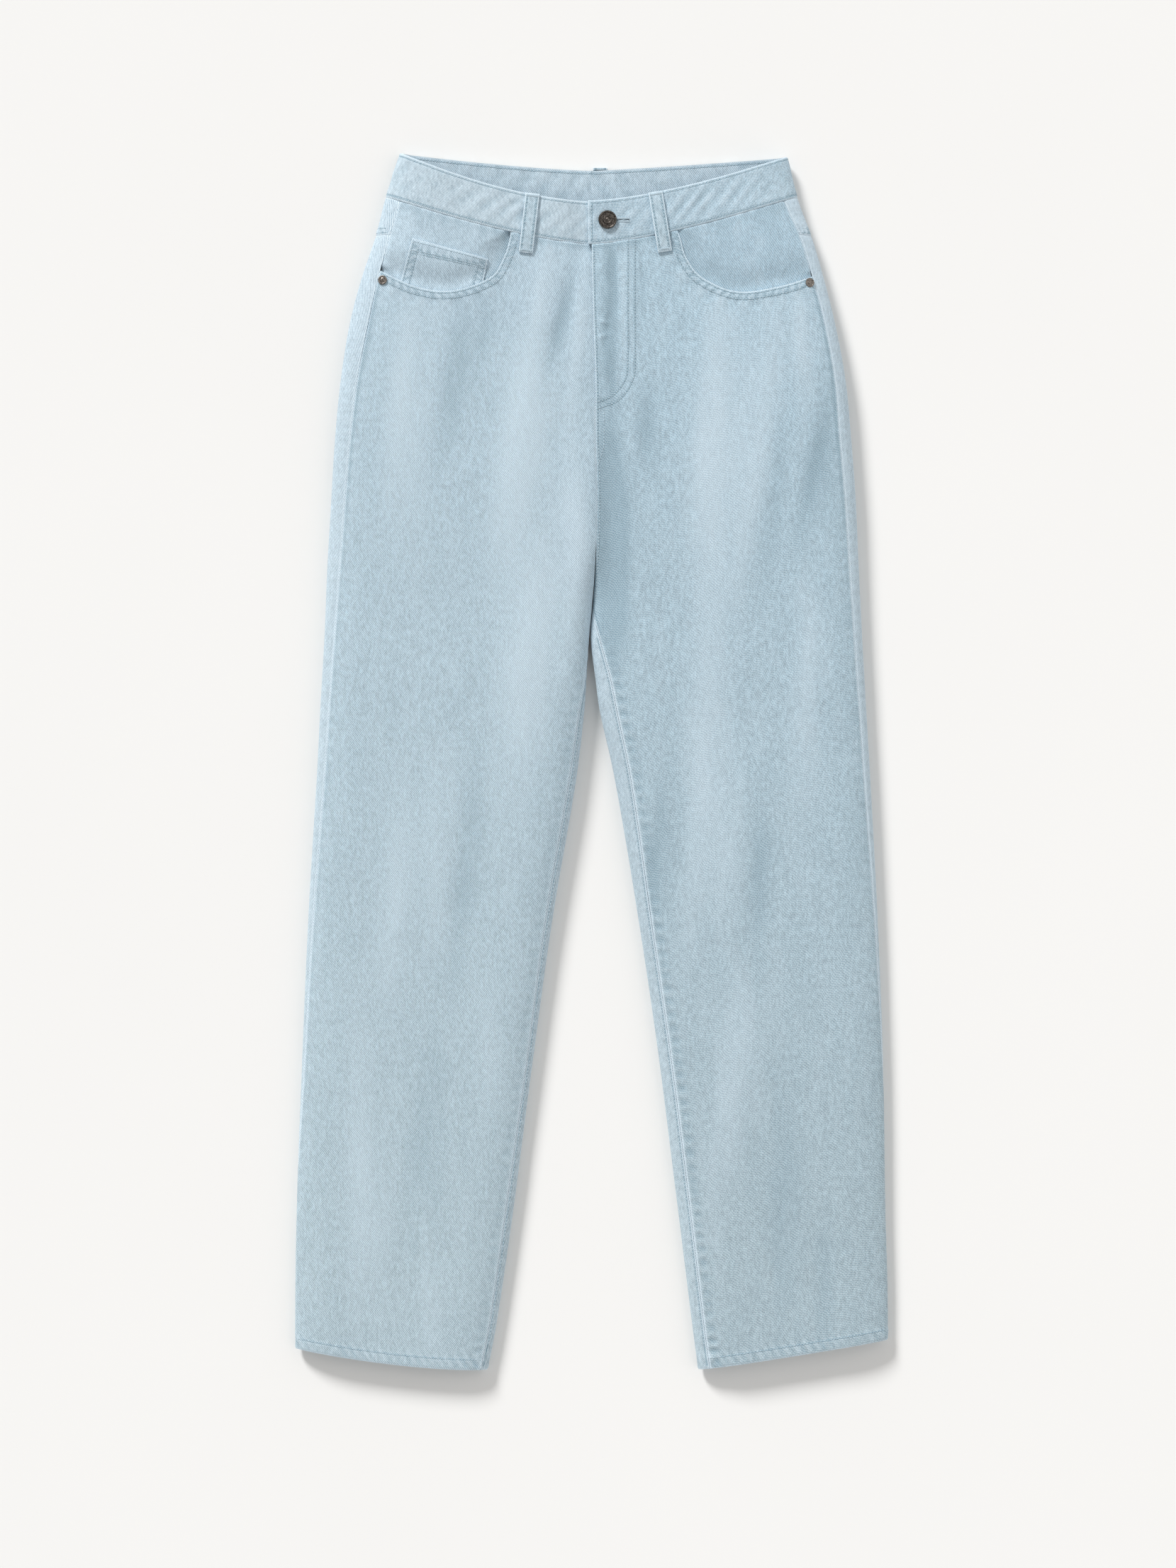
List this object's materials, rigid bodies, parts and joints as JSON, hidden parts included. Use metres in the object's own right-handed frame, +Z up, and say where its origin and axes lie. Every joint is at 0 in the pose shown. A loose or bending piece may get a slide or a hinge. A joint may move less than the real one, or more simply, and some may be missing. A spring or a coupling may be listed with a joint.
{
  "type": "straight jeans",
  "caption": "Light-blue denim straight jeans with front scoop pockets, coin pocket, back patch pockets, yoke, belt loops and a buttoned fly, laid flat on their back.",
  "frame": {"origin": "middle of the bounding box at its base, on the surface that the laid jeans rest on", "axes": "+Y from the hems to the waist, +Z up out of the surface, +X to the wearer's left"},
  "size_m": [0.5447, 1.1175, 0.0289],
  "materials": {
    "denim": "washed twill, matt",
    "denim_back": "washed twill, matt",
    "denim_band": "washed twill, matt",
    "denim_facing": "washed twill, matt",
    "gunmetal": "worn dark plating",
    "nickel": "worn dark nickel",
    "brass": "satin"
  },
  "bodies": {
    "root": {"front_right": "denim", "front_left": "denim", "back_right": "denim_back", "back_left": "denim_back", "yoke_right": "denim_back", "yoke_left": "denim_back", "back_pocket_right": "denim_back", "back_pocket_left": "denim_back", "waistband": "denim_band", "belt_loop_front_right": "denim_band", "belt_loop_front_left": "denim_band", "belt_loop_back_right": "denim_band", "belt_loop_back_left": "denim_band", "belt_loop_back_centre": "denim_band", "pocket_facing_right": "denim_facing", "pocket_facing_left": "denim_facing", "coin_pocket": "denim_facing", "zip_tape": "denim_facing", "button": "gunmetal", "rivet_right": "nickel", "rivet_left": "nickel", "zip_slider": "brass"}
  },
  "joints": []
}
